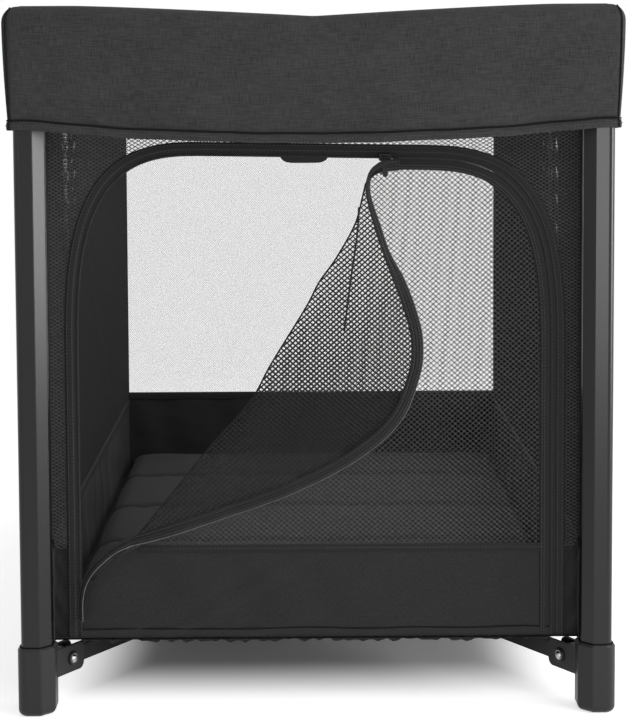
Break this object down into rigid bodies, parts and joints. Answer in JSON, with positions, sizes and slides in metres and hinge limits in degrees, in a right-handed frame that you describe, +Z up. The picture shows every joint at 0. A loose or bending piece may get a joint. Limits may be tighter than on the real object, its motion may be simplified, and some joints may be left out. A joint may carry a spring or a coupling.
{
  "type": "folding playpen",
  "caption": "Rectangular travel playpen: folding tube frame on corner legs, padded rail cover, mesh walls, quilted mat and an arched zip door with its corner turned back.",
  "frame": {"origin": "middle of the floor area, on the floor", "axes": "+Z up, front with the door along -Y, +X to the right of someone facing the door"},
  "size_m": [0.7, 1.08, 0.8],
  "materials": {
    "aluminium": "satin powder coat",
    "moulding": "matt moulded",
    "steel": "plated",
    "net": "knitted mesh",
    "cover_cloth": "heathered plain weave",
    "band_cloth": "plain weave",
    "quilt": "quilted",
    "zip": "woven tape and moulded teeth"
  },
  "bodies": {
    "leg_front_left": {"leg_tube_front_left": "aluminium", "foot_cap_front_left": "moulding", "arm_bracket_front_left": "moulding", "corner_bracket_front_left": "moulding", "leg_pins_front_left": "steel"},
    "leg_front_right": {"leg_tube_front_right": "aluminium", "foot_cap_front_right": "moulding", "arm_bracket_front_right": "moulding", "corner_bracket_front_right": "moulding", "leg_pins_front_right": "steel"},
    "leg_back_left": {"leg_tube_back_left": "aluminium", "foot_cap_back_left": "moulding", "arm_bracket_back_left": "moulding", "corner_bracket_back_left": "moulding", "leg_pins_back_left": "steel"},
    "leg_back_right": {"leg_tube_back_right": "aluminium", "foot_cap_back_right": "moulding", "arm_bracket_back_right": "moulding", "corner_bracket_back_right": "moulding", "leg_pins_back_right": "steel"},
    "arm_front_left": {"floor_arm_front_left": "aluminium"},
    "arm_front_right": {"floor_arm_front_right": "aluminium"},
    "arm_back_left": {"floor_arm_back_left": "aluminium"},
    "arm_back_right": {"floor_arm_back_right": "aluminium"},
    "hub": {"hub": "moulding", "hub_pins": "steel", "hub_foot": "moulding", "hub_cap": "moulding", "floor_panel": "band_cloth", "mattress": "quilt", "front_net": "net", "back_net": "net", "left_net": "net", "right_net": "net", "lower_band": "band_cloth", "door_zip": "zip", "door_flap": "band_cloth", "rail_cover": "cover_cloth"},
    "cross_rail_front_left": {"cross_rail_front_left": "aluminium"},
    "long_rail_front_left": {"long_rail_front_left": "aluminium"},
    "cross_rail_front_right": {"cross_rail_front_right": "aluminium"},
    "long_rail_front_right": {"long_rail_front_right": "aluminium"},
    "cross_rail_back_left": {"cross_rail_back_left": "aluminium"},
    "long_rail_back_left": {"long_rail_back_left": "aluminium"},
    "cross_rail_back_right": {"cross_rail_back_right": "aluminium"},
    "long_rail_back_right": {"long_rail_back_right": "aluminium"},
    "lock_front": {"rail_lock_front": "moulding", "lock_pins_front": "steel"},
    "button_front": {"lock_button_front": "moulding"},
    "lock_back": {"rail_lock_back": "moulding", "lock_pins_back": "steel"},
    "button_back": {"lock_button_back": "moulding"},
    "lock_left": {"rail_lock_left": "moulding", "lock_pins_left": "steel"},
    "button_left": {"lock_button_left": "moulding"},
    "lock_right": {"rail_lock_right": "moulding", "lock_pins_right": "steel"},
    "button_right": {"lock_button_right": "moulding"},
    "zip_slider": {"zip_slider": "zip"},
    "zip_pull": {"zip_pull": "zip"}
  },
  "joints": [
    {"name": "fold", "type": "hinge", "parent": "leg_front_left", "child": "arm_front_left", "pos_m": [-0.29147, -0.46562, 0.052], "axis": [0.8476, -0.5306, 0], "range_deg": [0, 78], "deforming": ["front_net", "back_net", "door_zip", "door_flap", "left_net", "right_net", "lower_band", "rail_cover", "floor_panel", "mattress"]},
    {"name": "hub_level", "type": "hinge", "parent": "arm_front_left", "child": "hub", "pos_m": [-0.02653, -0.04238, 0.052], "axis": [0.8476, -0.5306, 0], "range_deg": [-78, 0]},
    {"name": "arm_fold_front_right", "type": "hinge", "parent": "hub", "child": "arm_front_right", "pos_m": [0.02653, -0.04238, 0.052], "axis": [0.8476, 0.5306, 0], "range_deg": [0, 78]},
    {"name": "leg_fold_front_right", "type": "hinge", "parent": "arm_front_right", "child": "leg_front_right", "pos_m": [0.29147, -0.46562, 0.052], "axis": [0.8476, 0.5306, 0], "range_deg": [-78, 0]},
    {"name": "arm_fold_back_left", "type": "hinge", "parent": "hub", "child": "arm_back_left", "pos_m": [-0.02653, 0.04238, 0.052], "axis": [-0.8476, -0.5306, 0], "range_deg": [0, 78]},
    {"name": "leg_fold_back_left", "type": "hinge", "parent": "arm_back_left", "child": "leg_back_left", "pos_m": [-0.29147, 0.46562, 0.052], "axis": [-0.8476, -0.5306, 0], "range_deg": [-78, 0]},
    {"name": "arm_fold_back_right", "type": "hinge", "parent": "hub", "child": "arm_back_right", "pos_m": [0.02653, 0.04238, 0.052], "axis": [-0.8476, 0.5306, 0], "range_deg": [0, 78]},
    {"name": "leg_fold_back_right", "type": "hinge", "parent": "arm_back_right", "child": "leg_back_right", "pos_m": [0.29147, 0.46562, 0.052], "axis": [-0.8476, 0.5306, 0], "range_deg": [-78, 0]},
    {"name": "cross_rail_fold_front_left", "type": "hinge", "parent": "leg_front_left", "child": "cross_rail_front_left", "pos_m": [-0.28074, -0.508, 0.772], "axis": [0, 1, 0], "range_deg": [0, 78]},
    {"name": "long_rail_fold_front_left", "type": "hinge", "parent": "leg_front_left", "child": "long_rail_front_left", "pos_m": [-0.318, -0.43904, 0.772], "axis": [-1, 0, 0], "range_deg": [0, 78]},
    {"name": "cross_rail_fold_front_right", "type": "hinge", "parent": "leg_front_right", "child": "cross_rail_front_right", "pos_m": [0.28074, -0.508, 0.772], "axis": [0, -1, 0], "range_deg": [0, 78]},
    {"name": "long_rail_fold_front_right", "type": "hinge", "parent": "leg_front_right", "child": "long_rail_front_right", "pos_m": [0.318, -0.43904, 0.772], "axis": [-1, 0, 0], "range_deg": [0, 78]},
    {"name": "cross_rail_fold_back_left", "type": "hinge", "parent": "leg_back_left", "child": "cross_rail_back_left", "pos_m": [-0.28074, 0.508, 0.772], "axis": [0, 1, 0], "range_deg": [0, 78]},
    {"name": "long_rail_fold_back_left", "type": "hinge", "parent": "leg_back_left", "child": "long_rail_back_left", "pos_m": [-0.318, 0.43904, 0.772], "axis": [1, 0, 0], "range_deg": [0, 78]},
    {"name": "cross_rail_fold_back_right", "type": "hinge", "parent": "leg_back_right", "child": "cross_rail_back_right", "pos_m": [0.28074, 0.508, 0.772], "axis": [0, -1, 0], "range_deg": [0, 78]},
    {"name": "long_rail_fold_back_right", "type": "hinge", "parent": "leg_back_right", "child": "long_rail_back_right", "pos_m": [0.318, 0.43904, 0.772], "axis": [1, 0, 0], "range_deg": [0, 78]},
    {"name": "lock_level_front", "type": "hinge", "parent": "cross_rail_front_left", "child": "lock_front", "pos_m": [-0.0158, -0.508, 0.772], "axis": [0, 1, 0], "range_deg": [-78, 0]},
    {"name": "lock_level_back", "type": "hinge", "parent": "cross_rail_back_left", "child": "lock_back", "pos_m": [-0.0158, 0.508, 0.772], "axis": [0, 1, 0], "range_deg": [-78, 0]},
    {"name": "lock_level_left", "type": "hinge", "parent": "long_rail_front_left", "child": "lock_left", "pos_m": [-0.318, -0.0158, 0.772], "axis": [-1, 0, 0], "range_deg": [-78, 0]},
    {"name": "lock_level_right", "type": "hinge", "parent": "long_rail_front_right", "child": "lock_right", "pos_m": [0.318, -0.0158, 0.772], "axis": [-1, 0, 0], "range_deg": [-78, 0]},
    {"name": "release_front", "type": "slide", "parent": "lock_front", "child": "button_front", "axis": [0, 0, 1], "range_m": [0, 0.003], "stiffness_N_per_m": 300, "springref_m": -0.002},
    {"name": "release_back", "type": "slide", "parent": "lock_back", "child": "button_back", "axis": [0, 0, 1], "range_m": [0, 0.003], "stiffness_N_per_m": 300, "springref_m": -0.002},
    {"name": "release_left", "type": "slide", "parent": "lock_left", "child": "button_left", "axis": [0, 0, 1], "range_m": [0, 0.003], "stiffness_N_per_m": 300, "springref_m": -0.002},
    {"name": "release_right", "type": "slide", "parent": "lock_right", "child": "button_right", "axis": [0, 0, 1], "range_m": [0, 0.003], "stiffness_N_per_m": 300, "springref_m": -0.002},
    {"name": "zip_slide", "type": "slide", "parent": "lock_front", "child": "zip_slider", "axis": [-1, 0, 0], "range_m": [0, 0.15]},
    {"name": "zip_pull_swing", "type": "hinge", "parent": "zip_slider", "child": "zip_pull", "pos_m": [0.07952, -0.5015, 0.631], "axis": [-1, 0, 0], "range_deg": [0, 85]}
  ],
  "couplings": [
    {"joint": "hub_level", "follows": "fold", "ratio": -1},
    {"joint": "arm_fold_front_right", "follows": "fold", "ratio": 1},
    {"joint": "leg_fold_front_right", "follows": "fold", "ratio": -1},
    {"joint": "arm_fold_back_left", "follows": "fold", "ratio": 1},
    {"joint": "leg_fold_back_left", "follows": "fold", "ratio": -1},
    {"joint": "arm_fold_back_right", "follows": "fold", "ratio": 1},
    {"joint": "leg_fold_back_right", "follows": "fold", "ratio": -1},
    {"joint": "cross_rail_fold_front_left", "follows": "fold", "ratio": 1},
    {"joint": "long_rail_fold_front_left", "follows": "fold", "ratio": 1},
    {"joint": "cross_rail_fold_front_right", "follows": "fold", "ratio": 1},
    {"joint": "long_rail_fold_front_right", "follows": "fold", "ratio": 1},
    {"joint": "cross_rail_fold_back_left", "follows": "fold", "ratio": 1},
    {"joint": "long_rail_fold_back_left", "follows": "fold", "ratio": 1},
    {"joint": "cross_rail_fold_back_right", "follows": "fold", "ratio": 1},
    {"joint": "long_rail_fold_back_right", "follows": "fold", "ratio": 1},
    {"joint": "lock_level_front", "follows": "fold", "ratio": -1},
    {"joint": "lock_level_back", "follows": "fold", "ratio": -1},
    {"joint": "lock_level_left", "follows": "fold", "ratio": -1},
    {"joint": "lock_level_right", "follows": "fold", "ratio": -1}
  ]
}
